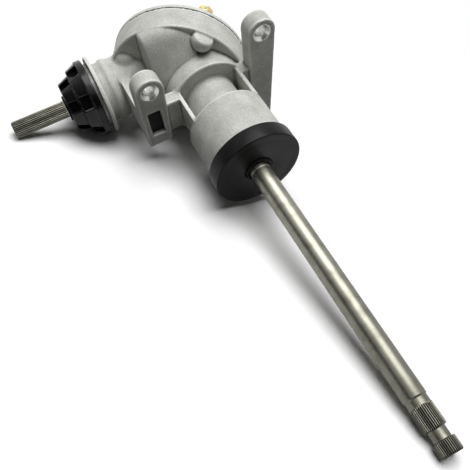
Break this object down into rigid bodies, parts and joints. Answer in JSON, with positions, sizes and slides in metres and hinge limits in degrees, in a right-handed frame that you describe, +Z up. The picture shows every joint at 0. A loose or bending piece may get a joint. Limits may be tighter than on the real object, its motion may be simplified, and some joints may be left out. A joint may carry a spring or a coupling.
{
  "type": "steering gearbox",
  "caption": "Right-angle steering gearbox: cast housing with two mounting lugs, enclosed bevel gear pair, long column shaft with serrated end and a serrated stub shaft.",
  "frame": {"origin": "midway between the two lug holes, in the plane of the lug backs", "axes": "+Z up; the column shaft runs along -Y, the stub shaft along -X"},
  "size_m": [0.257, 0.484, 0.147],
  "materials": {
    "cast_aluminium": "blasted casting",
    "gasket": "pressed sheet",
    "yellow_zinc": "yellow zinc plate",
    "black_rubber": "satin moulded rubber",
    "seal_rubber": "matte moulded rubber",
    "spring_steel": "oiled spring steel",
    "bright_steel": "turned steel",
    "black_plastic": "glossy black coating",
    "bearing_steel": "polished bearing steel",
    "cage_brass": "brass cage with steel balls",
    "ground_steel": "ground bar",
    "gear_steel": "hardened and ground",
    "serrated_steel": "rolled serrations"
  },
  "bodies": {
    "housing": {"housing": "cast_aluminium", "cover": "cast_aluminium", "cover_gasket": "gasket", "cover_bolt_1": "yellow_zinc", "cover_bolt_2": "yellow_zinc", "cover_bolt_3": "yellow_zinc", "cover_bolt_4": "yellow_zinc", "cover_washer_1": "yellow_zinc", "cover_washer_2": "yellow_zinc", "cover_washer_3": "yellow_zinc", "cover_washer_4": "yellow_zinc", "lug_pad": "black_rubber", "tube_cap": "black_rubber", "column_seal": "seal_rubber", "column_circlip": "spring_steel", "collar_circlip": "spring_steel", "spacer_ring": "bright_steel", "lock_ring": "black_plastic", "adjuster": "black_plastic", "stub_seal": "seal_rubber", "stub_spacer": "bright_steel", "column_front_outer_race": "bearing_steel", "column_rear_outer_race": "bearing_steel", "stub_front_outer_race": "bearing_steel", "stub_rear_outer_race": "bearing_steel"},
    "column": {"column_shaft": "ground_steel", "column_gear": "gear_steel", "column_key": "spring_steel", "column_nut": "bright_steel", "column_shaft_clip": "spring_steel", "column_front_inner_race": "bearing_steel", "column_rear_inner_race": "bearing_steel"},
    "stub": {"stub_shaft": "serrated_steel", "stub_gear": "gear_steel", "stub_key": "spring_steel", "stub_nut": "bright_steel", "stub_front_inner_race": "bearing_steel", "stub_rear_inner_race": "bearing_steel"},
    "column_front_balls": {"column_front_balls": "cage_brass"},
    "column_rear_balls": {"column_rear_balls": "cage_brass"},
    "stub_front_balls": {"stub_front_balls": "cage_brass"},
    "stub_rear_balls": {"stub_rear_balls": "cage_brass"}
  },
  "joints": [
    {"name": "column_turn", "type": "hinge", "parent": "housing", "child": "column", "pos_m": [0.00265, 0.058, -0.057], "axis": [0, -1, 0], "continuous": true},
    {"name": "stub_turn", "type": "hinge", "parent": "housing", "child": "stub", "pos_m": [0.00265, 0.058, -0.057], "axis": [-1, 0, 0], "continuous": true},
    {"name": "column_front_balls_turn", "type": "hinge", "parent": "housing", "child": "column_front_balls", "pos_m": [0.00265, 0.058, -0.057], "axis": [0, -1, 0], "continuous": true},
    {"name": "column_rear_balls_turn", "type": "hinge", "parent": "housing", "child": "column_rear_balls", "pos_m": [0.00265, 0.058, -0.057], "axis": [0, -1, 0], "continuous": true},
    {"name": "stub_front_balls_turn", "type": "hinge", "parent": "housing", "child": "stub_front_balls", "pos_m": [0.00265, 0.058, -0.057], "axis": [-1, 0, 0], "continuous": true},
    {"name": "stub_rear_balls_turn", "type": "hinge", "parent": "housing", "child": "stub_rear_balls", "pos_m": [0.00265, 0.058, -0.057], "axis": [-1, 0, 0], "continuous": true}
  ],
  "couplings": [
    {"joint": "stub_turn", "follows": "column_turn", "ratio": -1.7333},
    {"joint": "column_front_balls_turn", "follows": "column_turn", "ratio": 0.39652},
    {"joint": "column_rear_balls_turn", "follows": "column_turn", "ratio": 0.39758},
    {"joint": "stub_front_balls_turn", "follows": "column_turn", "ratio": -0.66125},
    {"joint": "stub_rear_balls_turn", "follows": "column_turn", "ratio": -0.66125}
  ]
}
